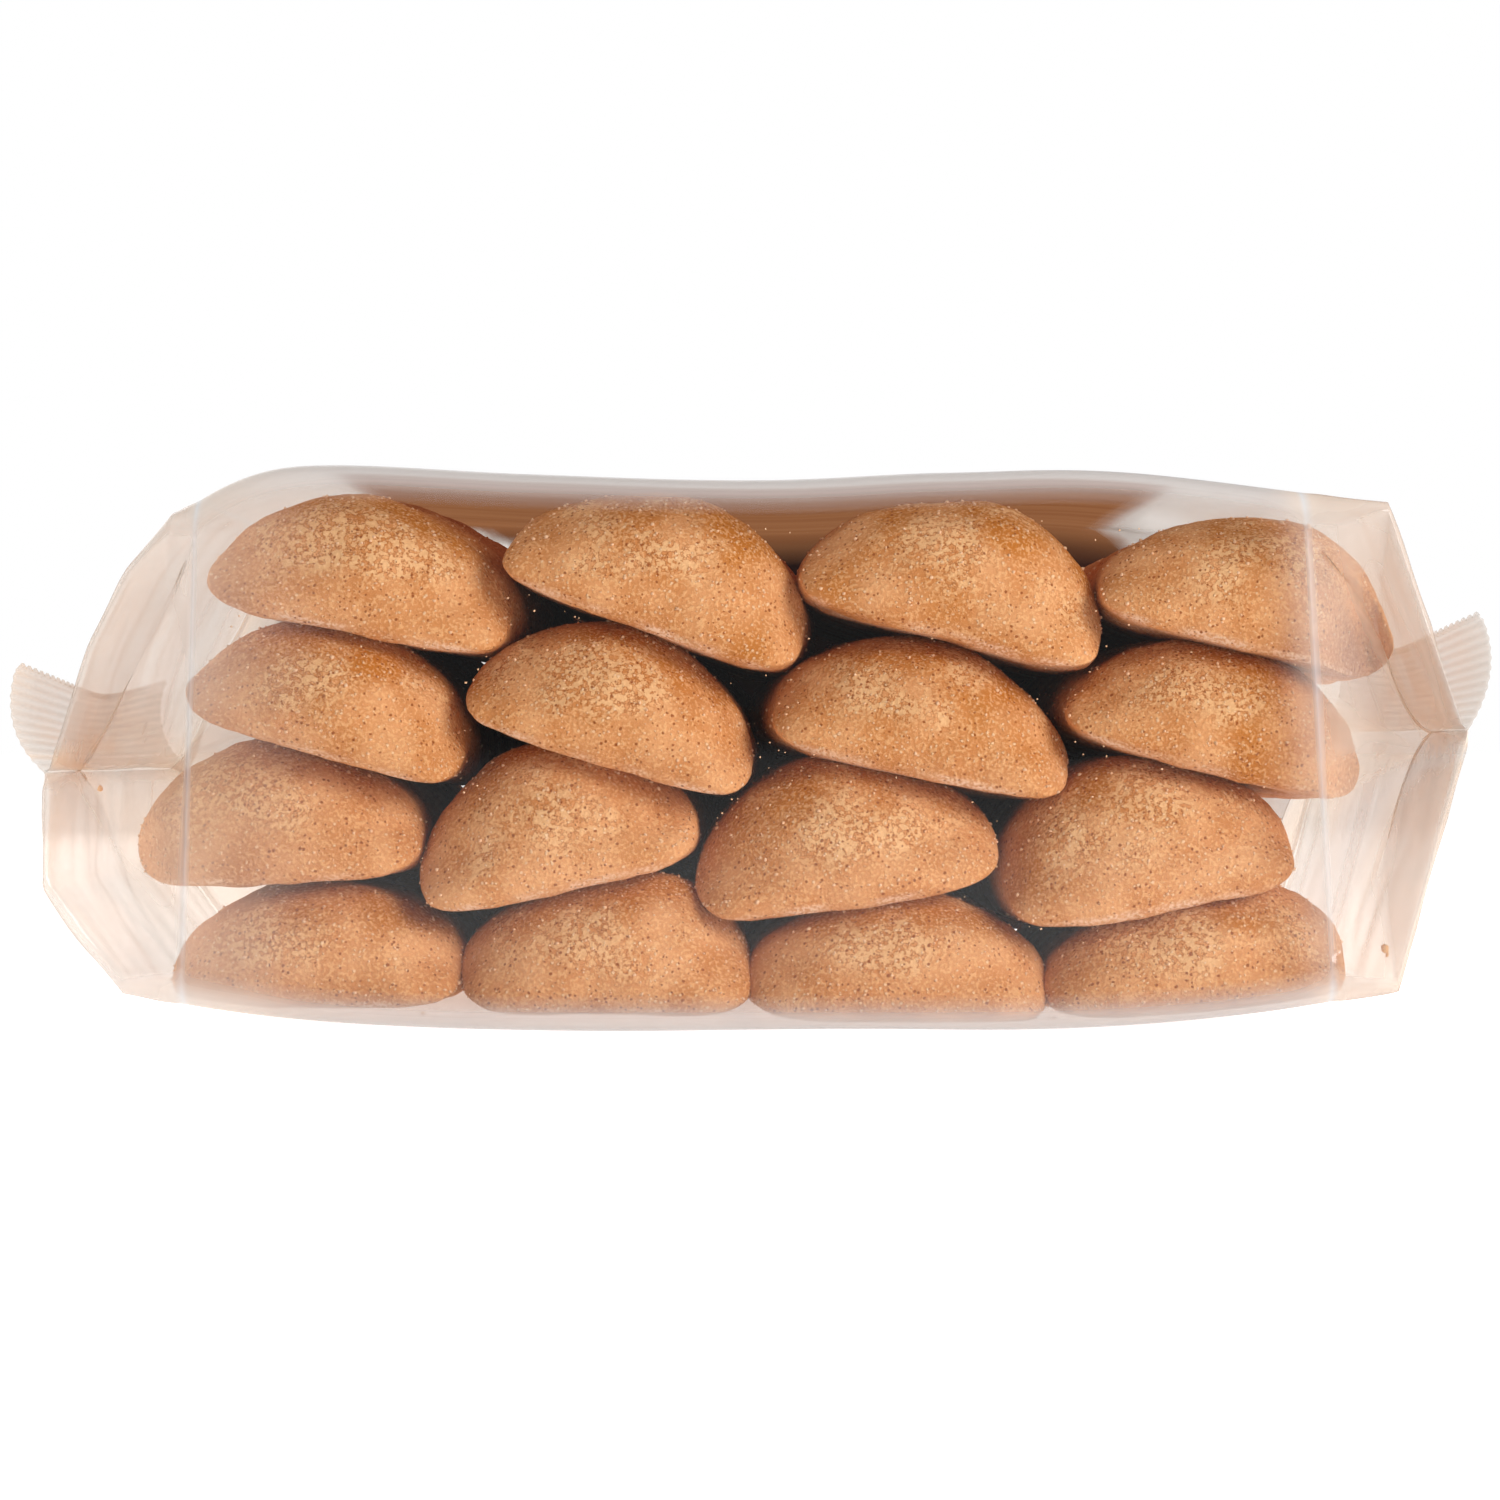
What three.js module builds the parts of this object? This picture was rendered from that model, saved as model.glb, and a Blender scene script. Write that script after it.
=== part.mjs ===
// A sealed clear film pack of ladyfingers, lying flat, as one closed solid out to the film.
// The film is a box round four rows of biscuits. Its ends are tucked in like gussets, close
// along a level seal, and carry an upright crimped fin.
// Millimetres, +Z up. X runs along the pack and Y through its depth, which is one biscuit long.
// The biscuits show end on through the front, which faces -Y. The origin is under the middle.

import * as THREE from "three";

// Driving sizes
const DEPTH = 118; // front panel to back panel
const EDGE_RADIUS = 4.5; // roll of the film along the long edges
const GUSSET = 20; // how far the ends are tucked in at the seal, from the front and from the back
const FIN_THICKNESS = 0.8; // both layers of the crimped seal, thick enough to be solid
const FIN_SWAY = 1.2; // how far a fin waves in and out along its length
const FIN_DIP = 3; // how much lower a fin's edge is halfway along its length
const BASE_HALF = 16; // the underside is flat this far to either side of the middle
const BASE_CURVE = 3; // power by which the underside then rises to the ends

// The film's outline seen from the front, as [x, z] points where it turns.
const TOP_LINE = [
  [-69.6, 62.2], [-55.8, 67.9], [-27, 67.1], [2, 66.4], [24, 67.3], [46, 67.4], [76.6, 63.5],
];
const LEFT_END = {
  upper: [[-69.6, 62.2], [-74.8, 55.4], [-79.2, 46.6], [-83.9, 31.9]], // from the top panel down to the seal
  lower: [[-75.6, 4.4], [-80.8, 11.4], [-84.8, 17.3], [-84.7, 30.3]], // from the underside up to the seal
  fin: [[-84.5, 31.1], [-90.6, 36.4], [-87.7, 44.5]], // root, bulge and tip of the fin's curve
  crease: [-66.6, -68.4], // x of the upright fold from the front panel to the gusset, at its top and foot
};
const RIGHT_END = {
  upper: [[76.6, 63.5], [85.5, 37]],
  lower: [[77.8, 5], [86.2, 35.4]],
  fin: [[86, 36.2], [90.8, 43.6], [87.4, 50.6]],
  crease: [66.6, 70.2],
};

// How finely the solid is drawn
const TOP_POINTS = 240; // points along the top line from which heights are read
const BODY_STEPS = 22; // from one upright crease to the other
const CREASE_STEPS = 2; // from a crease to the gable
const GABLE_STEPS = 7;
const FIN_STEPS = 5;
const PANEL_STEPS = 12; // across the top and the underside
const SIDE_STEPS = 8; // up the front and the back, even, so that one point lies on the gusset's fold
const CORNER_STEPS = 3;

const vector = ([x, z]) => new THREE.Vector2(x, z);
const topCurve = new THREE.SplineCurve(TOP_LINE.map(vector)).getPoints(TOP_POINTS);

// Height of the top panel at x.
function topHeight(x) {
  const found = topCurve.findIndex((point) => point.x >= x);
  const next = found < 0 ? TOP_POINTS : Math.max(found, 1);
  const [a, b] = [topCurve[next - 1], topCurve[next]];
  return THREE.MathUtils.mapLinear(x, a.x, b.x, a.y, b.y);
}

// A point at share t of the way along a line of straight stretches, each taking an equal share.
function along(points, t) {
  const place = t * (points.length - 1);
  const i = Math.min(Math.floor(place), points.length - 2);
  return vector(points[i]).lerp(vector(points[i + 1]), place - i);
}

// A rung is one cross-section of the pack: its top and bottom points seen from the front, the share
// of the gusset by which its front and back are tucked in, and how far it is up a fin, from 0 to 1.
const rung = (top, bottom, tuck = 0, up = 0) => ({ top, bottom, tuck, up });

// Tuck of a rung: nothing at the upright crease, growing evenly to the whole gusset at the seal.
function tuckAt(top, bottom, end) {
  const seal = end.fin[0][0];
  const crease = (end.crease[0] + end.crease[1]) / 2;
  const share = ((top.x + bottom.x) / 2 - crease) / (seal - crease);
  return THREE.MathUtils.clamp(share, 0, 1);
}

// Height of the underside: flat in the middle, curving up to meet the two ends.
function undersideHeight(x) {
  const [endX, endZ] = (x < 0 ? LEFT_END : RIGHT_END).lower[0];
  const share = Math.max(0, (Math.abs(x) - BASE_HALF) / (Math.abs(endX) - BASE_HALF));
  return endZ * share ** BASE_CURVE;
}

// The box, from gable to gable. Its rungs lean as the gables and the upright creases do.
function bodyRungs() {
  const stops = [
    [LEFT_END.upper[0][0], LEFT_END.lower[0][0]],
    LEFT_END.crease,
    RIGHT_END.crease,
    [RIGHT_END.upper[0][0], RIGHT_END.lower[0][0]],
  ];
  const steps = [CREASE_STEPS, BODY_STEPS, CREASE_STEPS];
  const rungs = [];
  for (let stretch = 0; stretch < steps.length; stretch++) {
    for (let i = stretch === 0 ? 0 : 1; i <= steps[stretch]; i++) {
      const { x: topX, y: footX } = along(stops, (stretch + i / steps[stretch]) / steps.length);
      const top = new THREE.Vector2(topX, topHeight(topX));
      const bottom = new THREE.Vector2(footX, undersideHeight(footX));
      rungs.push(rung(top, bottom, tuckAt(top, bottom, topX < 0 ? LEFT_END : RIGHT_END)));
    }
  }
  return rungs;
}

// The sloping gable from the box to the seal, without its first rung, which is the body's last.
function gableRungs(end) {
  const rungs = [];
  for (let i = 1; i <= GABLE_STEPS; i++) {
    const t = i / GABLE_STEPS;
    const top = along(end.upper, t);
    const bottom = along(end.lower, t);
    rungs.push(rung(top, bottom, i < GABLE_STEPS ? tuckAt(top, bottom, end) : 0));
  }
  return rungs;
}

// The crimped fin, curving up and out from the seal. Its inner face carries on from the gable's top.
function finRungs(end) {
  const curve = new THREE.QuadraticBezierCurve(...end.fin.map(vector));
  const outward = Math.sign(end.fin[0][0]);
  const rungs = [];
  for (let i = 0; i <= FIN_STEPS; i++) {
    const t = i / FIN_STEPS;
    const middle = curve.getPoint(t);
    const tangent = curve.getTangent(t);
    const inward = new THREE.Vector2(-tangent.y, tangent.x).multiplyScalar(outward * FIN_THICKNESS / 2);
    rungs.push(rung(middle.clone().add(inward), middle.clone().sub(inward), 0, t));
  }
  return rungs;
}

// The closed ring of points round one rung, starting at the front's upper corner. Points come as
// [y, height above the rung's bottom]. A tucked side goes in from its upper and lower edges and is
// level between, over a stretch that shrinks from its whole height at the crease to none at the seal.
function ringOutline(height, tuck) {
  const half = DEPTH / 2;
  const radius = Math.min(EDGE_RADIUS, 0.3 * height);
  const corner = [];
  for (let i = 0; i <= CORNER_STEPS; i++) {
    const a = (i / CORNER_STEPS) * (Math.PI / 2);
    corner.push([half - radius * (1 - Math.cos(a)), height - radius * (1 - Math.sin(a))]);
  }
  const panel = [];
  for (let i = 1; i < PANEL_STEPS; i++) {
    panel.push([THREE.MathUtils.lerp(radius - half, half - radius, i / PANEL_STEPS), height]);
  }
  const knee = THREE.MathUtils.clamp(tuck, 0.25, 0.75); // share of the half height where the tuck turns level
  const side = [];
  for (let i = 1; i < SIDE_STEPS; i++) {
    const near = 1 - Math.abs((2 * i) / SIDE_STEPS - 1);
    const fold = near < 0.5 ? 2 * near * knee : THREE.MathUtils.lerp(knee, 1, 2 * near - 1);
    const share = 2 * i < SIDE_STEPS ? fold / 2 : 1 - fold / 2;
    const inward = GUSSET * Math.min(tuck, fold);
    side.push([half - inward, THREE.MathUtils.lerp(height - radius, radius, share)]);
  }
  const upper = [...corner.map(([y, s]) => [-y, s]), ...panel, ...corner.toReversed(), ...side];
  const lower = upper.map(([y, s]) => [-y, height - s]);
  return [...upper, ...lower];
}

function ringPoints({ top, bottom, tuck, up }) {
  const rise = top.clone().sub(bottom);
  const height = rise.length();
  rise.normalize();
  return ringOutline(height, tuck).map(([y, s]) => {
    const sway = Math.sign(top.x) * FIN_SWAY * up * Math.sin((2 * Math.PI * y) / DEPTH);
    const dip = FIN_DIP * up * Math.cos((Math.PI * y) / DEPTH);
    return new THREE.Vector3(bottom.x + rise.x * s + sway, y, bottom.y + rise.y * s - dip);
  });
}

// A cap over the ring that starts at a given vertex: a strip from its front fold to its back fold.
function capTriangles(size, start) {
  const fold = size - SIDE_STEPS / 2;
  const at = (i) => start + ((i + size) % size);
  const index = [];
  for (let i = 0; i < size / 2; i++) {
    const [up, nextUp, down, nextDown] = [fold + i, fold + i + 1, fold - i, fold - i - 1].map(at);
    if (nextUp !== nextDown) index.push(nextUp, nextDown, down);
    if (up !== down) index.push(up, nextUp, down);
  }
  return index;
}

// Joins the rungs' rings into one closed skin, with a cap at each end.
function loft(rungs) {
  const rings = rungs.map(ringPoints);
  const size = rings[0].length;
  const index = [];
  for (let r = 0; r + 1 < rings.length; r++) {
    for (let i = 0; i < size; i++) {
      const a = r * size + i;
      const b = r * size + ((i + 1) % size);
      index.push(a, a + size, b, b, a + size, b + size);
    }
  }
  index.push(...capTriangles(size, 0));
  index.push(...capTriangles(size, (rings.length - 1) * size).toReversed());
  const geometry = new THREE.BufferGeometry().setFromPoints(rings.flat());
  geometry.setIndex(index);
  geometry.computeVertexNormals();
  return geometry;
}

function filmPack() {
  const rungs = [
    ...finRungs(LEFT_END).reverse(),
    ...gableRungs(LEFT_END).reverse(),
    ...bodyRungs(),
    ...gableRungs(RIGHT_END),
    ...finRungs(RIGHT_END),
  ];
  const film = new THREE.MeshStandardMaterial({
    color: 0xe6cdb8,
    roughness: 0.12,
    metalness: 0,
    transparent: true,
    opacity: 0.35,
  });
  const mesh = new THREE.Mesh(loft(rungs), film);
  mesh.name = "film_pack";
  return mesh;
}

const pack = new THREE.Group();
pack.add(filmPack());

export default pack;
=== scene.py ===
"""Looks for the ladyfinger pack: clear film round sixteen ladyfingers, on a plain white stage.

Sizes are in millimetres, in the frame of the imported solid, and become metres as a mesh is made.
"""

import math

import bpy
import numpy as np
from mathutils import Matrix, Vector, noise


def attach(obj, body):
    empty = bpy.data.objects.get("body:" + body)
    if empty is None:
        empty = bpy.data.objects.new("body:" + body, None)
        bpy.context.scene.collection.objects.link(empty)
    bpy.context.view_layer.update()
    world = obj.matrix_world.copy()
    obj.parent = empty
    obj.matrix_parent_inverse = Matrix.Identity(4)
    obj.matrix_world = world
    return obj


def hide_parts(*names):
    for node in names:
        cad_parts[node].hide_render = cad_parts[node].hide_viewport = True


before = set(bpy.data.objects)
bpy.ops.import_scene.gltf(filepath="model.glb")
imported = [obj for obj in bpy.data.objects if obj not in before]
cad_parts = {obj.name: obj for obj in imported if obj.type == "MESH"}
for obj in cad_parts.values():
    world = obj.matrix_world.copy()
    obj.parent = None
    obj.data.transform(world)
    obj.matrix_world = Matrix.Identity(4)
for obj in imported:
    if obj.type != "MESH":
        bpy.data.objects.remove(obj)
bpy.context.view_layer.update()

MM = 0.001
SEED = 11

# The film's shape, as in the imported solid: [x, z] points seen from the front
DEPTH = 118
EDGE_RADIUS = 4.5
FOLD_RADIUS = 0.7  # of the gable's sharper edges
GUSSET = 20
FIN_THICKNESS = 0.3
FIN_SWAY = 1.2
FIN_DIP = 3
BASE_HALF = 16
BASE_CURVE = 3
TOP_LINE = [(-69.6, 62.2), (-55.8, 67.9), (-27, 67.1), (2, 66.4), (24, 67.3), (46, 67.4), (76.6, 63.5)]
LEFT_END = {
    "upper": [(-69.6, 62.2), (-74.8, 55.4), (-79.2, 46.6), (-83.9, 31.9)],
    "lower": [(-75.6, 4.4), (-80.8, 11.4), (-84.8, 17.3), (-84.7, 30.3)],
    "fin": [(-84.5, 31.1), (-90.6, 36.4), (-87.7, 44.5)],
    "crease": (-66.6, -68.4),
    "veil": 11,  # how far the milky look reaches past the crease on to the front
}
RIGHT_END = {
    "upper": [(76.6, 63.5), (85.5, 37)],
    "lower": [(77.8, 5), (86.2, 35.4)],
    "fin": [(86, 36.2), (90.8, 43.6), (87.4, 50.6)],
    "crease": (66.6, 70.2),
    "veil": 3,
}
SEAL = (85, 33.5)  # x, on either side, and z of the point from which the ends' folds spread

# How finely the film is drawn, and its small folds
BODY_STEPS = 120
CREASE_STEPS = 10
GABLE_STEPS = 28
FIN_STEPS = 52
PANEL_STEPS = 76
SIDE_STEPS = 56
CORNER_STEPS = 5
CREASE_WIDTH = 0.45  # half width of the painted highlight line along an upright crease
RIB_PITCH = 1.2  # ribs of the crimped seal
RIB_HEIGHT = 0.09
TOOTH = 0.6  # depth of the zigzag cut along a fin's edge
WAVE = 0.22  # slow waves in the panels
TAUT = 0.08  # share of them in the front, which is pulled flat
CRINKLE = 0.3  # sharper crinkles in the gables

# Milkiness of the film, from 0 to 1
GABLE_HAZE = (0.24, 0.45)  # of the front and of the back
# Haze along the upright creases and round the gables' edges, a painted highlight
CREASE_HIGHLIGHT = 0.16
FIN_HAZE = 0.18
RIB_HAZE = 0.05  # more and less on the ribs of a fin
TOP_ROLL_GLARE_HAZE = 0.52  # where the long edges roll over to the top, a painted glare
BASE_ROLL_HAZE = 0.52
ROLL_REACH = 6  # how far that reaches on to the panel
BACK_HAZE = 0.04
BASE_HAZE = 0.12

# The ladyfingers seen end on, in rows from the top down. Each has the x and z of the middle of its base,
# its width and height, its tilt in degrees, where a plus sign means that the right side hangs lower, the
# lean of its dome to the right as a share of the width, the height of its left and right tips as shares
# of its own, and by how many degrees its far end swings to the right.
BISCUITS = [
    [
        (-48.4, 48.1, 36.5, 17.2, 10.9, -0.02, 0.31, 0.29, 2.5),
        (-13.2, 48.5, 37.1, 17.6, 19.6, 0.07, 0.24, 0.3, 0.5),
        (23.5, 47.3, 37.2, 18.1, 14.4, 0.1, 0.23, 0.25, -1.0),
        (59.6, 46.1, 35.9, 17.2, 13.9, 0.12, 0.25, 0.3, -0.5),
    ],
    [
        (-52.7, 33.3, 33.8, 16.6, 15.7, 0.01, 0.29, 0.27, 2.5),
        (-18.1, 32.2, 35.6, 17.4, 16.5, -0.03, 0.24, 0.24, 2.0),
        (19.8, 30.6, 36.5, 17.4, 12.5, 0.0, 0.28, 0.25, -1.5),
        (55.6, 31.2, 36.0, 16.8, 14.4, 0.05, 0.25, 0.29, -1.5),
    ],
    [
        (-57.9, 17.7, 34.3, 17.6, -2.5, -0.02, 0.33, 0.3, 0.5),
        (-22.4, 16.7, 33.3, 18.4, -12.6, -0.05, 0.29, 0.3, 0.5),
        (12.6, 14.8, 36.5, 18.6, -8.1, -0.06, 0.31, 0.29, -1.5),
        (49.6, 14.1, 35.1, 19.4, -10.4, -0.07, 0.35, 0.31, -2.0),
    ],
    [
        (-53.0, 2.6, 35.2, 15.2, 0.0, 0.03, 0.31, 0.35, 0.0),
        (-17.6, 1.7, 35.1, 17.1, 0.0, 0.13, 0.33, 0.34, 0.0),
        (18.0, 0.6, 36.3, 16.0, 2.0, 0.03, 0.34, 0.37, 0.5),
        (54.9, 2.0, 36.2, 15.2, -3.5, 0.22, 0.33, 0.41, 1.5),
    ],
]
BISCUIT_LENGTH = 112
TOP_POWER = 1.7  # roundness of the dome
FOOT_POWER = 4.4  # squareness of the base's edges
BLUNT = 40  # rounds of smoothing that blunt the outline's tips
BLUNT_LOSS = 0.5  # how far that draws in each tip, which is made up for
END_POWER = 2.2  # roundness of the ends
END_DEPTH = 13  # how far the dome's ends are rounded
FOOT_DEPTH = 2.5  # the same at the base
BARREL = 0.02  # how much wider a ladyfinger is at half its length, as a share
LIFT = 0.02  # how much higher it is there, as a share
SAG = 0.5  # how far its base bellies down there
FLOOR_SAG = 1.4  # the same in the bottom row, which lies on the film
BOW = 1.2  # how far a ladyfinger is bent sideways, to the right in one row and to the left in the next
FILM_GAP = 0.9  # least room between a ladyfinger and the film above or below it
CAP_SIDE = 64  # points along one side of an end's grid
BAND_STEPS = 50  # steps between the two ends

# The brown print inside the film, over the top panel and down the back
PRINT_X = (-54, 61)
PRINT_LEFT = (-53, -36)  # x of its left edge on the top and on the back
PRINT_RIGHT = (54, 60)
PRINT_FRONT = -47  # y where it starts
PRINT_FOOT = 7  # z where it ends
PRINT_FADE = 4  # its edges fade in over this stretch
PRINT_STEPS = (60, 70)
PRINT_DROP = 0.4  # how far it lies inside the film

# Loose sugar and crumbs
FACE_GRAINS = 90  # on each end of a ladyfinger
LONG_GRAINS = 180  # on its dome between them
GRAIN_RADIUS = (0.12, 0.26)
SPECKS = 420
SPECK_RADIUS = (0.05, 0.15)
CRUMBS = [  # x, y, z and radius
    (77.6, -50, 9.5, 0.5),
    (78.0, -49.6, 8.8, 0.3),
    (-81.5, -38, 29, 0.4),
    (-40, -50, 1.6, 0.3),
    (37, -52, 1.2, 0.3),
]


def lerp(a, b, t):
    return a + (b - a) * t


def smooth(low, high, x):
    t = np.clip((x - low) / (high - low), 0, 1)
    return t * t * (3 - 2 * t)


def noise_at(points, size, shift=0.0):
    """Smooth noise from -1 to 1 with lumps of about that size in millimetres."""
    moved = np.asarray(points) / size + shift
    return np.array([noise.noise(p) for p in moved.tolist()])


def cell_edges(points, size):
    """Distance to the nearest edge between random cells of that size, as a share of a cell."""
    near = [noise.voronoi(p)[0] for p in (np.asarray(points) / size).tolist()]
    return np.array([d[1] - d[0] for d in near])


def make_piece(name, points, faces, material, slot, **attributes):
    """A mesh piece from points in millimetres, with named values for each point."""
    mesh = bpy.data.meshes.new(name)
    mesh.from_pydata((np.asarray(points) * MM).tolist(), [], list(faces))
    mesh.shade_smooth()
    for key, values in attributes.items():
        mesh.attributes.new(key, "FLOAT", "POINT").data.foreach_set("value", np.asarray(values, np.float32))
    mesh.materials.append(material)
    piece = bpy.data.objects.new(name, mesh)
    bpy.context.scene.collection.objects.link(piece)
    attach(piece, "root")
    return piece


def grid_faces(rows, columns):
    """Quads over a grid of points that closes on itself across its columns."""
    i = np.arange(rows - 1)[:, None] * columns
    j = np.arange(columns)[None, :]
    k = (j + 1) % columns
    return np.stack([i + j, i + columns + j, i + columns + k, i + k], -1).reshape(-1, 4)


# Materials


class Nodes:
    """A short way to write a material's node tree."""

    def __init__(self, name):
        self.material = bpy.data.materials.new(name)
        self.material.use_nodes = True
        self.tree = self.material.node_tree
        self.tree.nodes.clear()
        self.output = self.tree.nodes.new("ShaderNodeOutputMaterial")

    def add(self, kind, inputs=None, **settings):
        node = self.tree.nodes.new("ShaderNode" + kind)
        for key, value in settings.items():
            setattr(node, key, value)
        for key, value in (inputs or {}).items():
            self.set(node.inputs[key], value)
        return node

    def set(self, socket, value):
        if isinstance(value, bpy.types.NodeSocket):
            self.tree.links.new(value, socket)
        else:
            socket.default_value = value

    def math(self, operation, *values):
        node = self.add("Math", operation=operation)
        for socket, value in zip(node.inputs, values):
            self.set(socket, value)
        return node.outputs[0]

    def ramp(self, value, low, high, to_low=0.0, to_high=1.0):
        inputs = {"Value": value, "From Min": low, "From Max": high, "To Min": to_low, "To Max": to_high}
        return self.add("MapRange", inputs, interpolation_type="SMOOTHSTEP").outputs[0]

    def mix(self, factor, a, b):
        node = self.add("Mix", data_type="RGBA")
        self.set(node.inputs[0], factor)
        self.set(node.inputs[6], a)
        self.set(node.inputs[7], b)
        return node.outputs[2]

    def attribute(self, name):
        return self.add("Attribute", attribute_name=name).outputs["Fac"]

    def place(self):
        return self.add("TexCoord").outputs["Object"]

    def noise(self, size, detail=2.0, place=None):
        """Noise with lumps of that size in millimetres."""
        inputs = {"Vector": place or self.place(), "Scale": 1 / (size * MM), "Detail": detail}
        return self.add("TexNoise", inputs).outputs["Fac"]

    def mix_shader(self, factor, a, b):
        node = self.add("MixShader")
        self.set(node.inputs[0], factor)
        self.set(node.inputs[1], a.outputs[0])
        self.set(node.inputs[2], b.outputs[0])
        return node

    def finish(self, shader):
        self.tree.links.new(shader.outputs[0], self.output.inputs["Surface"])
        self.material.cycles.emission_sampling = "NONE"  # the faint glows need no rays of their own
        return self.material


def colour(red, green, blue):
    """A colour given in sRGB from 0 to 255, as the shaders take it."""
    def straight(c):
        c /= 255
        return c / 12.92 if c <= 0.04045 else ((c + 0.055) / 1.055) ** 2.4

    return (straight(red), straight(green), straight(blue), 1.0)


def crust_material():
    """Baked sponge: golden tan with amber patches, crackled pale plates, pores and sugar grains."""
    nodes = Nodes("baked_crust")
    glaze = nodes.attribute("glaze")
    fine = nodes.noise(0.42, 3)
    flecks = nodes.ramp(fine, 0.48, 0.62)
    tone = nodes.mix(nodes.attribute("tan"), colour(204, 136, 80), colour(220, 158, 106))
    # Amber where the points carry it, more on the dome's top: partly baked browning, partly painted amber
    # light from the print above.
    tone = nodes.mix(nodes.attribute("brown"), tone, colour(182, 106, 20))
    tone = nodes.mix(nodes.math("MULTIPLY", flecks, 0.5), tone, colour(242, 192, 138))
    plate = nodes.noise(0.7, 3)
    plates = nodes.math("MULTIPLY", nodes.ramp(plate, 0.46, 0.56), glaze)
    tone = nodes.mix(nodes.math("MULTIPLY", plates, 0.55), tone, colour(240, 200, 150))
    cracks = nodes.ramp(nodes.math("ABSOLUTE", nodes.math("ADD", plate, -0.46)), 0.04, 0.01)
    cracks = nodes.math("MULTIPLY", cracks, nodes.math("MULTIPLY_ADD", glaze, 0.5, 0.1))
    tone = nodes.mix(cracks, tone, colour(148, 78, 22))
    # Paler along the base's edge: partly the baked edge's own colour, partly a painted highlight.
    pale_foot_and_highlight = nodes.math("MULTIPLY", nodes.attribute("foot"), nodes.ramp(fine, 0.4, 0.6, 0.2, 0.9))
    tone = nodes.mix(pale_foot_and_highlight, tone, colour(240, 204, 176))
    bent = {0: fine, 1: (0.3 * MM,) * 3, 2: nodes.place()}
    bent = nodes.add("VectorMath", bent, operation="MULTIPLY_ADD").outputs[0]
    cells = nodes.add("TexVoronoi", {"Vector": bent, "Scale": 1 / (0.62 * MM)})
    pick = nodes.add("SeparateColor", {"Color": cells.outputs["Color"]}).outputs
    reach = nodes.math("SUBTRACT", cells.outputs["Distance"], nodes.math("MULTIPLY", pick[1], 0.2))
    spot = nodes.ramp(reach, 0.2, 0.06)
    pores = nodes.math("MULTIPLY", spot, nodes.math("LESS_THAN", pick[0], 0.4))
    sugar = nodes.math("MULTIPLY", spot, nodes.math("GREATER_THAN", pick[0], 0.55))
    tone = nodes.mix(nodes.math("MULTIPLY", sugar, 0.6), tone, colour(252, 218, 178))
    tone = nodes.mix(nodes.math("MULTIPLY", pores, 0.8), tone, colour(134, 60, 10))
    height = nodes.math("MULTIPLY_ADD", sugar, 0.5, fine)
    bump = nodes.add("Bump", {"Strength": 0.8, "Distance": 0.3 * MM, "Height": height})
    inputs = {
        "Base Color": tone,
        "Roughness": 0.8,
        "Specular IOR Level": 0.2,
        "Normal": bump.outputs[0],
    }
    return nodes.finish(nodes.add("BsdfPrincipled", inputs))


def film_material():
    """Clear film with a cream haze where its points carry one, and more of it seen at a low angle."""
    nodes = Nodes("clear_film")
    facing = nodes.add("LayerWeight", {"Blend": 0.5}).outputs["Facing"]
    rim = nodes.math("MULTIPLY", nodes.math("POWER", facing, 4.0), nodes.attribute("slick"))
    gloss = nodes.math("MULTIPLY_ADD", rim, 0.3, 0.035)
    haze = nodes.math("MULTIPLY_ADD", rim, 0.35, nodes.attribute("haze"))
    # Warm cream along the gables' folds: a painted reflection of the ladyfingers.
    warm = nodes.attribute("warm")
    held = nodes.mix(warm, (0.72, 0.67, 0.62, 1), (0.7, 0.53, 0.41, 1))
    clear = nodes.add("BsdfTransparent", {"Color": nodes.mix(haze, (0.97, 0.95, 0.93, 1), held)})
    tone = nodes.mix(warm, colour(210, 208, 207), colour(242, 214, 184))
    inputs = {"Base Color": tone, "Roughness": 0.6, "Specular IOR Level": 0.0}
    # The haze's faint emission is a painted glow, standing in for light that comes through the film.
    inputs |= {"Emission Color": tone, "Emission Strength": 0.08}
    cream = nodes.add("BsdfPrincipled", inputs)
    rough = nodes.math("MULTIPLY_ADD", haze, 0.5, 0.04)
    shine = nodes.add("BsdfGlossy", {"Color": (1, 1, 1, 1), "Roughness": rough})
    body = nodes.mix_shader(haze, clear, cream)
    return nodes.finish(nodes.mix_shader(gloss, body, shine))


def print_material():
    """A plain brown print with fine streaks along the pack. Light comes through it, as a faint glow."""
    nodes = Nodes("brown_print")
    stretch = nodes.add("Mapping", {"Vector": nodes.place(), "Scale": (0.05, 1.0, 1.0)}).outputs[0]
    streaks = nodes.ramp(nodes.noise(4, 4, stretch), 0.3, 0.7)
    tone = nodes.mix(streaks, colour(150, 96, 58), colour(164, 110, 70))
    inputs = {"Base Color": colour(70, 38, 24), "Roughness": 0.6, "Specular IOR Level": 0.0}
    inputs |= {"Emission Color": tone, "Emission Strength": nodes.attribute("glow")}
    ink = nodes.add("BsdfPrincipled", inputs)
    clear = nodes.add("BsdfTransparent", {"Color": (1, 1, 1, 1)})
    return nodes.finish(nodes.mix_shader(nodes.attribute("shown"), clear, ink))


def sugar_material():
    nodes = Nodes("sugar")
    tone = nodes.mix(nodes.noise(1.2, 1), colour(226, 174, 128), colour(242, 206, 170))
    inputs = {"Base Color": tone, "Roughness": 0.35, "Specular IOR Level": 0.5}
    return nodes.finish(nodes.add("BsdfPrincipled", inputs))


# Film


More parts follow.
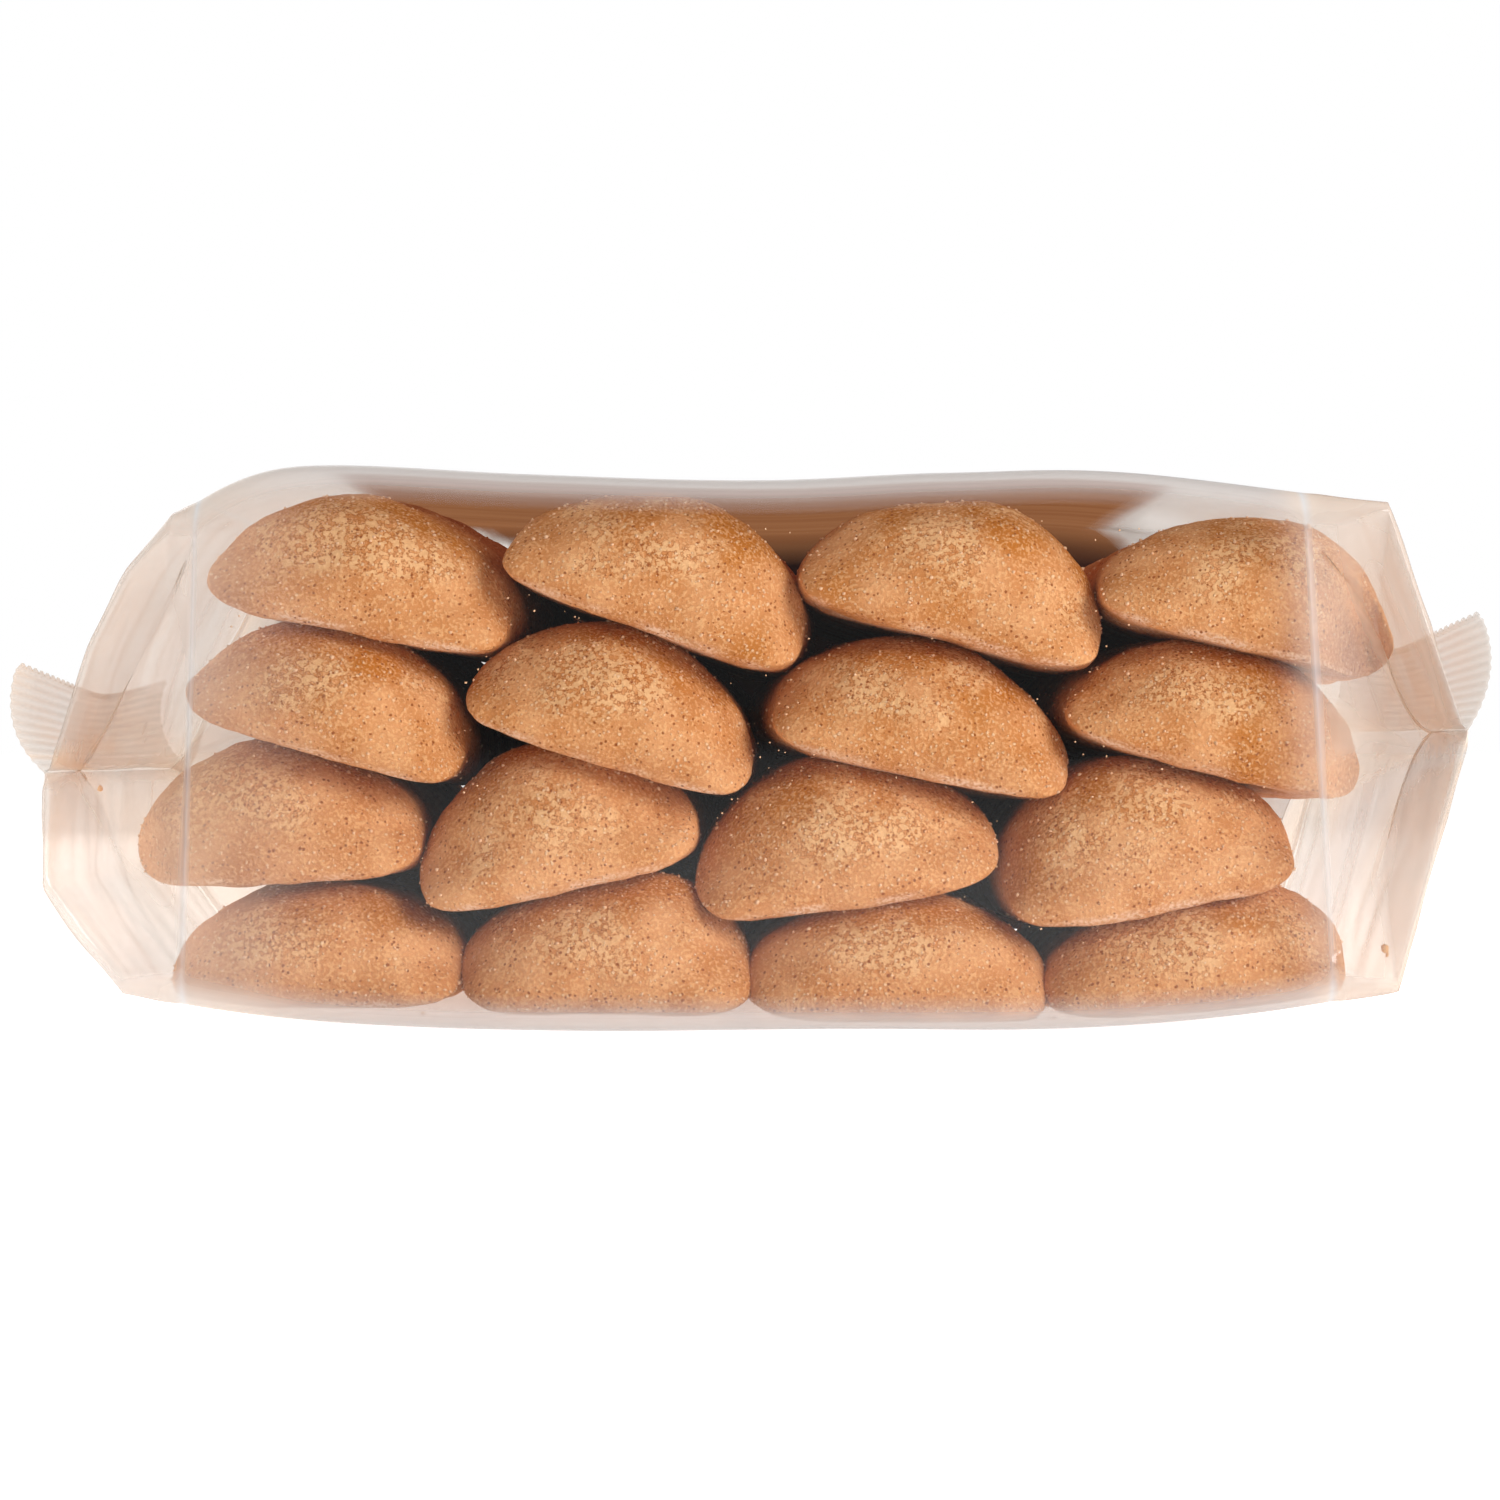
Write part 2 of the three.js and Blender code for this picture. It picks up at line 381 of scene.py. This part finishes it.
def spline(points, count):
    """A smooth line through the points, the same curve as the solid's top line."""
    p = np.array(points, float)
    p = np.vstack([p[0], p, p[-1]])
    place = np.linspace(0, len(points) - 1, count + 1)
    i = np.minimum(place.astype(int), len(points) - 2)
    t = (place - i)[:, None]
    a, b, c, d = p[i], p[i + 1], p[i + 2], p[i + 3]
    out, back = (c - a) / 2, (d - b) / 2
    return (2 * (b - c) + out + back) * t**3 + (3 * (c - b) - 2 * out - back) * t**2 + out * t + b


TOP_CURVE = np.vstack([LEFT_END["upper"][:0:-1], spline(TOP_LINE, 240), RIGHT_END["upper"][1:]])


def top_height(x):
    return np.interp(x, TOP_CURVE[:, 0], TOP_CURVE[:, 1])


def underside_height(x):
    left = np.asarray(x) < 0
    end_x = np.where(left, LEFT_END["lower"][0][0], RIGHT_END["lower"][0][0])
    end_z = np.where(left, LEFT_END["lower"][0][1], RIGHT_END["lower"][0][1])
    share = np.maximum(0, (np.abs(x) - BASE_HALF) / (np.abs(end_x) - BASE_HALF))
    return end_z * share**BASE_CURVE


def along(points, t):
    """Points at shares t of the way along a line of straight stretches of equal shares."""
    points = np.array(points, float)
    place = np.asarray(t) * (len(points) - 1)
    i = np.minimum(place.astype(int), len(points) - 2)
    return lerp(points[i], points[i + 1], (place - i)[:, None])


def tuck_at(top, foot, end):
    crease = sum(end["crease"]) / 2
    share = ((top[:, 0] + foot[:, 0]) / 2 - crease) / (end["fin"][0][0] - crease)
    return np.clip(share, 0, 1)


def rungs(top, foot, tuck=0, up=0, rib=0):
    """Cross-sections of the film as rows: top x and z, foot x and z, tuck, height up a fin, and its rib."""
    return np.column_stack([top, foot, *(np.broadcast_to(value, len(top)) for value in (tuck, up, rib))])


def body_rungs():
    """The box from gable to gable, with rungs close together at the upright creases."""
    stops = [
        (LEFT_END["upper"][0][0], LEFT_END["lower"][0][0]),
        LEFT_END["crease"],
        RIGHT_END["crease"],
        (RIGHT_END["upper"][0][0], RIGHT_END["lower"][0][0]),
    ]
    shoulder = np.arange(CREASE_STEPS) / CREASE_STEPS
    middle = (1 - np.cos(np.pi * np.arange(BODY_STEPS) / BODY_STEPS)) / 2
    t = np.concatenate([shoulder, 1 + middle, 3 - shoulder[::-1]]) / 3
    x = along(stops, t)
    top = np.column_stack([x[:, 0], top_height(x[:, 0])])
    foot = np.column_stack([x[:, 1], underside_height(x[:, 1])])
    tuck = np.where(x[:, 0] < 0, tuck_at(top, foot, LEFT_END), tuck_at(top, foot, RIGHT_END))
    return rungs(top, foot, tuck)


def gable_rungs(end):
    t = np.arange(1, GABLE_STEPS + 1) / GABLE_STEPS
    top = along(end["upper"], t)
    foot = along(end["lower"], t)
    tuck = tuck_at(top, foot, end)
    tuck[-1] = 0
    return rungs(top, foot, tuck)


def fin_rungs(end):
    """The crimped fin: a curved strip with ribs that run along the seal."""
    root, bulge, tip = (np.array(p, float) for p in end["fin"])
    t = (np.arange(FIN_STEPS + 1) / FIN_STEPS)[:, None]
    middle = root * (1 - t) ** 2 + bulge * 2 * t * (1 - t) + tip * t**2
    tangent = 2 * (1 - t) * (bulge - root) + 2 * t * (tip - bulge)
    tangent /= np.linalg.norm(tangent, axis=1, keepdims=True)
    outward = math.copysign(1, root[0])
    inward = outward * np.column_stack([-tangent[:, 1], tangent[:, 0]])
    length = np.concatenate([[0], np.cumsum(np.linalg.norm(np.diff(middle, axis=0), axis=1))])
    rib = np.sin(2 * np.pi * length / RIB_PITCH) * smooth(0, 1.5, length)
    middle = middle + inward * RIB_HEIGHT * rib[:, None]
    half = inward * FIN_THICKNESS / 2
    return rungs(middle + half, middle - half, 0, t[:, 0], rib)


def ring_outline(height, tuck):
    """Points round one rung as y and height above its foot, from the front's upper corner."""
    half = DEPTH / 2
    radius = min(lerp(EDGE_RADIUS, FOLD_RADIUS, smooth(0.0, 0.6, tuck)), 0.3 * height)
    a = np.linspace(0, np.pi / 2, CORNER_STEPS + 1)
    corner = np.column_stack([half - radius * (1 - np.cos(a)), height - radius * (1 - np.sin(a))])
    t = np.arange(1, PANEL_STEPS) / PANEL_STEPS
    panel = np.column_stack([lerp(radius - half, half - radius, t), np.full(len(t), height)])
    near = 1 - np.abs(2 * np.arange(1, SIDE_STEPS) / SIDE_STEPS - 1)
    knee = np.clip(tuck, 0.1, 0.9)
    fold = np.where(near < 0.5, 2 * near * knee, lerp(knee, 1, 2 * near - 1))
    share = np.where(np.arange(1, SIDE_STEPS) * 2 < SIDE_STEPS, fold / 2, 1 - fold / 2)
    inward = GUSSET * np.minimum(tuck, fold)
    side = np.column_stack([half - inward, lerp(height - radius, radius, share)])
    upper = np.vstack([corner * (-1, 1), panel, corner[::-1], side])
    lower = upper * (-1, -1) + (0, height)
    return np.vstack([upper, lower])


def ring_points(row):
    top, foot, tuck, up = row[0:2], row[2:4], row[4], row[5]
    rise = top - foot
    height = np.linalg.norm(rise)
    y, s = ring_outline(height, tuck).T
    x, z = (foot + np.outer(s, rise / height)).T
    sway = math.copysign(FIN_SWAY, top[0]) * up * np.sin(2 * np.pi * y / DEPTH)
    dip = FIN_DIP * up * np.cos(np.pi * y / DEPTH)
    tooth = TOOTH * smooth(0.9, 1.0, up) * np.abs((y / DEPTH + 0.5) * PANEL_STEPS % 2 - 1)
    return np.column_stack([x + sway, y, z - dip - tooth])


def ring_lay():
    """For each point of a ring, 0 on the front and back, 1 on the top and underside, between on a roll."""
    corner = np.linspace(0, 1, CORNER_STEPS + 1)
    half = [corner, np.ones(PANEL_STEPS - 1), corner[::-1], np.zeros(SIDE_STEPS - 1)]
    return np.tile(np.concatenate(half), 2)


def panel_wave(points):
    """How far the film's slow waves lift it off its flat shape."""
    return WAVE * (noise_at(points, 30) + 0.3)


def film_piece():
    rows = np.vstack([
        fin_rungs(LEFT_END)[::-1],
        gable_rungs(LEFT_END)[::-1],
        body_rungs(),
        gable_rungs(RIGHT_END),
        fin_rungs(RIGHT_END),
    ])
    points = np.array([ring_points(row) for row in rows])
    count, size = points.shape[:2]
    lay = ring_lay()
    tuck, up = rows[:, 4:5], rows[:, 5:6]
    gable = smooth(0.0, 0.15, tuck)
    across = np.gradient(points, axis=0)
    around = np.roll(points, -1, axis=1) - np.roll(points, 1, axis=1)
    normal = np.cross(across, around)
    normal /= np.linalg.norm(normal, axis=2, keepdims=True) + 1e-9
    flat = points.reshape(-1, 3)
    ridge = 1 - 2 * np.abs(noise_at(flat * (0.6, 1, 1), 12, 5.0)).reshape(count, size)
    loose = (up == 0) * (1 - np.sin(np.pi * lay))
    front = (lay == 0) * (points[:, :, 1] < 0) * (1 - gable)
    wave = panel_wave(flat).reshape(count, size) * lerp(1, TAUT, front)
    lift = loose * (wave + CRINKLE * gable * ridge)
    points = points + normal * lift[:, :, None]
    faces = grid_faces(count, size).tolist()
    faces += tip_faces(size, 0)
    faces += [face[::-1] for face in tip_faces(size, (count - 1) * size)]
    haze, warm = film_haze(points, rows, lay)
    slick = np.broadcast_to(up == 0, haze.shape)
    values = {"haze": haze.ravel(), "warm": warm.ravel(), "slick": slick.ravel()}
    piece = make_piece("film", points.reshape(-1, 3), faces, film_material(), "film", **values)
    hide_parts("film_pack")


def film_haze(points, rows, lay):
    """How milky the film is at each point, from 0 to 1, with painted highlight lines along its folds and a
    painted glare on the top roll, and how warm that haze is, where the warm cream is a painted reflection
    of the ladyfingers.
    """
    tuck, up, rib = rows[:, 4:5], rows[:, 5:6], rows[:, 6:7]
    x, y, z = np.moveaxis(points, 2, 0)
    flat = points.reshape(-1, 3)
    body = up == 0
    gable = smooth(0.0, 0.15, tuck) * body
    middle = (rows[:, 0:1] + rows[:, 2:3]) / 2
    milky = crease = 0
    for end in (LEFT_END, RIGHT_END):
        fold = sum(end["crease"]) / 2
        inward = (fold - middle) * np.sign(fold)
        milky = np.maximum(milky, np.exp(-((np.maximum(0, inward) / end["veil"]) ** 2)))
        crease = np.maximum(crease, np.exp(-((inward / CREASE_WIDTH) ** 2)))
    bands = noise_at(flat * (1, 0.3, 0.4), 9, 2.0).reshape(x.shape)
    spread = np.arctan2(z - SEAL[1], np.abs(x) - SEAL[0])
    fan = np.column_stack([1.4 * spread.ravel(), flat[:, 1] / 25, np.sign(flat[:, 0])])
    folds = noise_at(fan, 1, 7.0).reshape(x.shape)
    upright = lay < 1
    haze = milky * (1 + 0.4 * bands) * np.where(y < 0, *GABLE_HAZE) * np.where(upright, 1, 0.3)
    # Painted highlight lines: along the upright creases, round the gables' edges and along the fan of folds
    # from the seal.
    haze += CREASE_HIGHLIGHT * np.maximum(crease * upright, np.sin(np.pi * lay) * gable)
    haze += 0.1 * np.exp(-((folds / 0.06) ** 2)) * gable
    to_edge = np.maximum(0, DEPTH / 2 - EDGE_RADIUS - np.abs(y))
    # Haze where the long edges roll over; on the top roll it is a painted glare.
    roll = smooth(0.0, 0.55, lay) * np.exp(-to_edge / ROLL_REACH) * (1 - gable)
    top = z > SEAL[1]
    haze += roll * np.where(top, TOP_ROLL_GLARE_HAZE, BASE_ROLL_HAZE)
    haze += (BACK_HAZE * (lay == 0) * (y > 0) + BASE_HAZE * (lay == 1) * ~top) * (1 - gable)
    haze = np.where(body, haze, FIN_HAZE + RIB_HAZE * rib)
    # The warm cream along the gables' folds is a painted reflection of the ladyfingers.
    return np.clip(haze, 0, 1), np.clip(0.5 + 0.9 * folds, 0, 1) * milky * (1 - crease)


def tip_faces(size, start):
    """Faces that close the ring from that point on, along a fin's edge."""
    fold = size - SIDE_STEPS // 2
    faces = []
    for i in range(size // 2):
        corners = (fold + i, fold + i + 1, fold - i - 1, fold - i)
        face = list(dict.fromkeys(start + c % size for c in corners))
        if len(face) > 2:
            faces.append(face)
    return faces


def print_piece():
    """The brown print just inside the film, over the top panel, round the roll and down the back."""
    x = np.linspace(*PRINT_X, PRINT_STEPS[0])
    share = np.linspace(0, 1, PRINT_STEPS[1])
    x, share = (m.ravel() for m in np.meshgrid(x, share, indexing="ij"))
    top = top_height(x)
    level = DEPTH / 2 - EDGE_RADIUS - PRINT_FRONT
    roll = EDGE_RADIUS * np.pi / 2
    run = share * (level + roll + top - EDGE_RADIUS - PRINT_FOOT)
    angle = np.clip((run - level) / EDGE_RADIUS, 0, np.pi / 2)
    y = PRINT_FRONT + np.minimum(run, level) + EDGE_RADIUS * np.sin(angle)
    z = top - EDGE_RADIUS * (1 - np.cos(angle)) - np.maximum(0, run - level - roll)
    points = np.column_stack([x, y, z])
    lift = panel_wave(points) * (1 - np.sin(2 * angle)) - PRINT_DROP
    points[:, 1] += lift * np.sin(angle)
    points[:, 2] += lift * np.cos(angle)
    left, right = (lerp(*ends, np.sin(angle)) for ends in (PRINT_LEFT, PRINT_RIGHT))
    shown = smooth(0, PRINT_FADE, run) * smooth(0, PRINT_FADE, x - left) * smooth(0, PRINT_FADE, right - x)
    i, j = (m.ravel() for m in np.meshgrid(*(np.arange(n - 1) for n in PRINT_STEPS), indexing="ij"))
    at = i * PRINT_STEPS[1] + j
    faces = np.column_stack([at, at + PRINT_STEPS[1], at + PRINT_STEPS[1] + 1, at + 1])
    values = {"shown": shown, "glow": 0.8 * np.cos(angle)}
    make_piece("film_print", points, faces, print_material(), "print", **values)


# Ladyfingers


def section(width, height, lean, tips, count):
    """The outline seen end on, evenly spaced from the lower right, with the middle of its base at 0."""
    a = np.linspace(-np.pi / 4, 2 * np.pi - np.pi / 4, 720)
    c, s = np.cos(a), np.sin(a)
    above = s >= 0
    power = 2 / np.where(above, TOP_POWER, FOOT_POWER)
    peak = np.where(above, lean * width, 0)
    tip = np.where(c >= 0, tips[1], tips[0]) * height
    u = peak + (np.sign(c) * width / 2 - peak) * np.abs(c) ** power
    v = tip + np.where(above, height - tip, -tip) * np.abs(s) ** power
    length = np.concatenate([[0], np.cumsum(np.hypot(np.diff(u), np.diff(v)))])
    t = np.arange(count) / count * length[-1]
    outline = np.column_stack([np.interp(t, length, u), np.interp(t, length, v)])
    for _ in range(BLUNT):
        outline = (np.roll(outline, 1, 0) + 2 * outline + np.roll(outline, -1, 0)) / 4
    return outline * (1 + 2 * BLUNT_LOSS / width, 1)


def cap_grid():
    """A square grid as rings: for each point its ring from 0 to 1 and its place round the ring."""
    line = np.linspace(-1, 1, CAP_SIDE)
    a, b = (m.ravel() for m in np.meshgrid(line, line, indexing="ij"))
    ring = np.maximum(np.abs(a), np.abs(b))
    right = (a >= np.abs(b)) * (b / ring + 1)
    top = (b > np.abs(a)) * (3 - a / ring)
    left = (-a >= np.abs(b)) * (5 - b / ring)
    foot = (-b > np.abs(a)) * (7 + a / ring)
    return ring, (right + top + left + foot) / 8


def cap_faces():
    i, j = (m.ravel() for m in np.meshgrid(np.arange(CAP_SIDE - 1), np.arange(CAP_SIDE - 1), indexing="ij"))
    at = i * CAP_SIDE + j
    return np.column_stack([at, at + CAP_SIDE, at + CAP_SIDE + 1, at + 1])


def cap_rim():
    """Grid points along the cap's rim, in order from its lower right corner."""
    n = CAP_SIDE
    right = [(n - 1) * n + j for j in range(n - 1)]
    top = [i * n + n - 1 for i in range(n - 1, 0, -1)]
    left = [j for j in range(n - 1, 0, -1)]
    foot = [i * n for i in range(n - 1)]
    return np.array(right + top + left + foot)


def biscuit_mesh(outline, height, draw):
    """Points and faces of one ladyfinger along y, with its base at 0, before its relief."""
    rim_size = len(outline)
    heart = np.array([0, 0.28 * height])
    ring, place = cap_grid()
    depth = lerp(FOOT_DEPTH, END_DEPTH, smooth(0.0, 0.5, outline[:, 1] / height))
    edge = np.column_stack([outline, depth])
    low = np.floor(place * rim_size).astype(int)
    edge = lerp(edge[low % rim_size], edge[(low + 1) % rim_size], (place * rim_size - low)[:, None])
    angle = ring * np.pi / 2
    spread = np.sin(angle) ** (2 / END_POWER)
    inset = edge[:, 2] * (1 - np.cos(angle).clip(0) ** (2 / END_POWER))
    flat = heart + spread[:, None] * (edge[:, :2] - heart)
    half = BISCUIT_LENGTH / 2 + draw.uniform(-1.2, 0.6)
    front = np.column_stack([flat[:, 0], inset - half, flat[:, 1]])
    back = front * (1, -1, 1)
    rim = cap_rim()
    share = (np.arange(1, BAND_STEPS) / BAND_STEPS)[:, None, None]
    band = lerp(front[rim][None], back[rim][None], share).reshape(-1, 3)
    points = np.vstack([front, band, back])
    n = CAP_SIDE**2
    rows = np.vstack([rim, n + np.arange(len(band)).reshape(-1, rim_size), n + len(band) + rim])
    a, b = rows[:-1], rows[1:]
    sides = np.stack([a, np.roll(a, -1, 1), np.roll(b, -1, 1), b], -1).reshape(-1, 4)
    faces = np.vstack([cap_faces(), sides[:, ::-1], cap_faces()[:, ::-1] + n + len(band)])
    return points, faces


def normals_of(points, faces):
    corner = points[faces]
    face = np.cross(corner[:, 2] - corner[:, 0], corner[:, 3] - corner[:, 1])
    total = np.zeros_like(points)
    for k in range(4):
        np.add.at(total, faces[:, k], face)
    return total / (np.linalg.norm(total, axis=1, keepdims=True) + 1e-12)


def turn(u, v, tilt):
    """The section's points turned to the right by a tilt in degrees."""
    angle = math.radians(tilt)
    return u * math.cos(angle) + v * math.sin(angle), v * math.cos(angle) - u * math.sin(angle)


def biscuit_piece(name, place, bow, sag, material, draw):
    """One ladyfinger. Returns its points and normals, for the sugar that lies on it."""
    x, z, width, height, tilt, lean, left, right, swing = place
    outline = section(width, height, lean, (left, right), 4 * (CAP_SIDE - 1))
    points, faces = biscuit_mesh(outline, height, draw)
    rise = points[:, 2] / height
    middle = np.cos(np.pi * points[:, 1] / (BISCUIT_LENGTH + 4)).clip(0)
    around = points + draw.uniform(0, 500, 3)
    face = np.exp(-((points[:, 0] / width + 0.08) / 0.25) ** 2 - ((rise - 0.55) / 0.3) ** 2)
    points[:, 0] *= 1 + BARREL * middle + 0.02 * noise_at(around * (0, 1, 0), 22)
    points[:, 2] *= 1 + LIFT * middle
    points[:, 2] -= sag * middle * smooth(0.5, 0.0, rise)
    normal = normals_of(points, faces)
    # The base's edge: paler crust there, partly a painted highlight, and softer relief.
    foot = smooth(0.07, 0.03, rise) * smooth(-0.4, 0.4, noise_at(around, 5, 4.0))
    dome = smooth(0.25, 0.6, rise)
    patches = 0.6 * noise_at(around, 7, 3.0) + 0.3 * noise_at(around, 2.5, 6.0)
    glaze = smooth(0.1, 0.6, 0.5 * face + patches + 0.1 * dome) * smooth(0.12, 0.3, rise)
    # Browner patches, more towards the dome's top: partly baked browning, partly painted amber light from
    # the print above.
    patches = 0.6 * noise_at(around, 8, 9.0) + 0.5 * smooth(0.45, 0.9, rise)
    brown = 0.9 * smooth(0.0, 0.55, patches) * (1 - 0.6 * glaze)
    tan = smooth(-0.5, 0.5, noise_at(around, 4, 5.0))
    relief = 0.6 * noise_at(around, 11) + 0.25 * noise_at(around, 5) + 0.12 * noise_at(around, 1.8)
    relief += glaze * (0.08 * smooth(0.0, 0.25, cell_edges(around, 1.5)) - 0.04)
    points += normal * (relief * lerp(1, 0.3, foot))[:, None]
    turned = turn(points[:, 0], points[:, 2], tilt)
    from_face = points[:, 1] + BISCUIT_LENGTH / 2 - END_DEPTH
    bend = np.sin(np.pi * np.clip(from_face / (BISCUIT_LENGTH - 2 * END_DEPTH), 0, 1))
    points[:, 0] = x + turned[0] + from_face * math.tan(math.radians(swing)) + bow * bend
    points[:, 1] += draw.uniform(-0.8, 0.3)
    points[:, 2] = z + turned[1]
    points = inside_film(points)
    values = {"glaze": glaze, "brown": brown, "tan": tan, "foot": foot}
    make_piece(name, points, faces, material, "biscuit", **values)
    return points[rise > 0.1], normals_of(points, faces)[rise > 0.1]


def inside_film(points):
    """The points, pressed in where they would come through the film."""
    x, y, z = points.T
    low, high = underside_height(x), top_height(x)
    z = np.clip(z, low + FILM_GAP, high - FILM_GAP)
    fold = 2 * np.minimum(z - low, high - z) / (high - low)
    tuck = 0
    for end in (LEFT_END, RIGHT_END):
        crease, seal = sum(end["crease"]) / 2, end["fin"][0][0]
        tuck = np.maximum(tuck, (x - crease) / (seal - crease) * (x * seal > 0))
    room = DEPTH / 2 - GUSSET * np.minimum(tuck * 1.3, fold) - FILM_GAP - 1.5 * smooth(0, 0.1, tuck)
    return np.column_stack([x, np.clip(y, -room, room), z])


def biscuits():
    material = crust_material()
    draw = np.random.default_rng(SEED)
    surfaces = []
    for r, row in enumerate(BISCUITS, 1):
        sag = FLOOR_SAG if r == len(BISCUITS) else SAG
        for c, place in enumerate(row, 1):
            bow = BOW * (-1) ** (r + 1)
            surfaces.append(biscuit_piece(f"ladyfinger_{r}_{c}", place, bow, sag, material, draw))
    return surfaces


# Sugar and crumbs


def pebble():
    """The corners and faces of a small solid with twenty sides."""
    g = (1 + math.sqrt(5)) / 2
    corners = [(-1, g, 0), (1, g, 0), (-1, -g, 0), (1, -g, 0), (0, -1, g), (0, 1, g)]
    corners += [(0, -1, -g), (0, 1, -g), (g, 0, -1), (g, 0, 1), (-g, 0, -1), (-g, 0, 1)]
    faces = [(0, 11, 5), (0, 5, 1), (0, 1, 7), (0, 7, 10), (0, 10, 11), (1, 5, 9), (5, 11, 4)]
    faces += [(11, 10, 2), (10, 7, 6), (7, 1, 8), (3, 9, 4), (3, 4, 2), (3, 2, 6), (3, 6, 8)]
    faces += [(3, 8, 9), (4, 9, 5), (2, 4, 11), (6, 2, 10), (8, 6, 7), (9, 8, 1)]
    return np.array(corners) / math.hypot(1, g), np.array(faces)


def scattered(places, radii, draw):
    """One mesh of uneven pebbles with those middles and radii."""
    corners, faces = pebble()
    count = len(places)
    uneven = draw.uniform(0.7, 1.3, (count, len(corners), 1)) * draw.uniform(0.7, 1.2, (count, 1, 3))
    points = places[:, None] + corners * uneven * np.asarray(radii)[:, None, None]
    shifts = np.arange(count)[:, None, None] * len(corners)
    return points.reshape(-1, 3), (faces + shifts).reshape(-1, 3).tolist()


def sugar_pieces(surfaces):
    draw = np.random.default_rng(SEED + 1)
    material = sugar_material()
    places = []
    for points, normals in surfaces:
        face = np.abs(points[:, 1]) > BISCUIT_LENGTH / 2 - END_DEPTH
        for part, count in ((face, 2 * FACE_GRAINS), (~face, LONG_GRAINS)):
            pick = draw.choice(np.flatnonzero(part), count, replace=False)
            places.append(points[pick] + normals[pick] * 0.04)
    places = np.vstack(places)
    radii = draw.uniform(*GRAIN_RADIUS, len(places))
    make_piece("sugar_grains", *scattered(places, radii, draw), material, "sugar")
    x = draw.uniform(-64, 66, SPECKS)
    z = draw.uniform(8, 62, SPECKS)
    places = np.column_stack([x, np.full(SPECKS, 0.5 - DEPTH / 2), z])
    radii = draw.uniform(*SPECK_RADIUS, SPECKS)
    make_piece("film_sugar", *scattered(places, radii, draw), material, "sugar")


def crumb_piece():
    draw = np.random.default_rng(SEED + 2)
    nodes = Nodes("crumb")
    tone = nodes.mix(nodes.noise(0.5), colour(214, 140, 66), colour(240, 190, 120))
    material = nodes.finish(nodes.add("BsdfPrincipled", {"Base Color": tone, "Roughness": 0.8}))
    crumbs = np.array(CRUMBS)
    make_piece("crumbs", *scattered(crumbs[:, :3], crumbs[:, 3], draw), material, "biscuit")


# Stage


def stage():
    floor_mesh = bpy.data.meshes.new("floor")
    far = 30.0
    under = -0.0004
    corners = [(-far, -far, under), (far, -far, under), (far, far, under), (-far, far, under)]
    floor_mesh.from_pydata(corners, [], [(0, 1, 2, 3)])
    nodes = Nodes("pale_floor")
    seen = nodes.add("LightPath").outputs["Is Camera Ray"]
    glow = nodes.math("MULTIPLY_ADD", seen, 0.4, 0.5)
    inputs = {"Base Color": (0.9, 0.9, 0.9, 1), "Roughness": 0.9, "Emission Color": (1, 1, 1, 1)}
    inputs["Emission Strength"] = glow
    floor_mesh.materials.append(nodes.finish(nodes.add("BsdfPrincipled", inputs)))
    floor = bpy.data.objects.new("floor", floor_mesh)
    bpy.context.scene.collection.objects.link(floor)


def area_light(name, place, aim, size, radiance):
    light = bpy.data.lights.new(name, "AREA")
    light.shape = "RECTANGLE"
    light.size, light.size_y = size
    light.energy = radiance * math.pi * size[0] * size[1]
    lamp = bpy.data.objects.new(name, light)
    lamp.location = place
    lamp.rotation_mode = "QUATERNION"
    lamp.rotation_quaternion = (Vector(aim) - Vector(place)).to_track_quat("-Z", "Y")
    bpy.context.scene.collection.objects.link(lamp)


def lights():
    """Soft boxes on all sides and above, in a white surround that gives little light.

    The front film mirrors the floor and the low soft box, with a dark band between them.
    """
    world = bpy.data.worlds.new("white_studio")
    world.use_nodes = True
    tree = world.node_tree
    seen = tree.nodes["Background"]
    seen.inputs["Color"].default_value = (1, 1, 1, 1)
    given = tree.nodes.new("ShaderNodeBackground")
    given.inputs["Color"].default_value = (1, 1, 1, 1)
    given.inputs["Strength"].default_value = 0.15
    path = tree.nodes.new("ShaderNodeLightPath")
    mix = tree.nodes.new("ShaderNodeMixShader")
    tree.links.new(path.outputs["Is Camera Ray"], mix.inputs[0])
    tree.links.new(given.outputs[0], mix.inputs[1])
    tree.links.new(seen.outputs[0], mix.inputs[2])
    tree.links.new(mix.outputs[0], tree.nodes["World Output"].inputs["Surface"])
    bpy.context.scene.world = world
    area_light("front", (0.8, -0.72, 0.44), (0, 0, 0.03), (0.65, 0.55), 9.5)
    area_light("low_front", (0, -0.95, 0.147), (0, 0, 0.147), (1.2, 0.2), 0.12)
    area_light("top", (0, -0.1, 0.95), (0, 0, 0.03), (0.9, 0.7), 1.0)
    area_light("back", (-0.3, 0.9, 0.45), (0, 0, 0.03), (0.8, 0.5), 2.0)
    area_light("left", (-0.9, 0.1, 0.3), (0, 0, 0.03), (0.7, 0.7), 4.0)
    area_light("right", (0.9, 0, 0.3), (0, 0, 0.03), (0.7, 0.7), 1.4)


def camera():
    lens = bpy.data.cameras.new("camera")
    lens.sensor_width = 36
    lens.lens = 94
    view = bpy.data.objects.new("camera", lens)
    view.location = (0, -0.529, 0.03384)
    view.rotation_euler = (math.pi / 2, 0, 0)
    bpy.context.scene.collection.objects.link(view)
    bpy.context.scene.camera = view
    bpy.context.scene.view_settings.view_transform = "Standard"


camera()
stage()
lights()
film_piece()
print_piece()
sugar_pieces(biscuits())
crumb_piece()
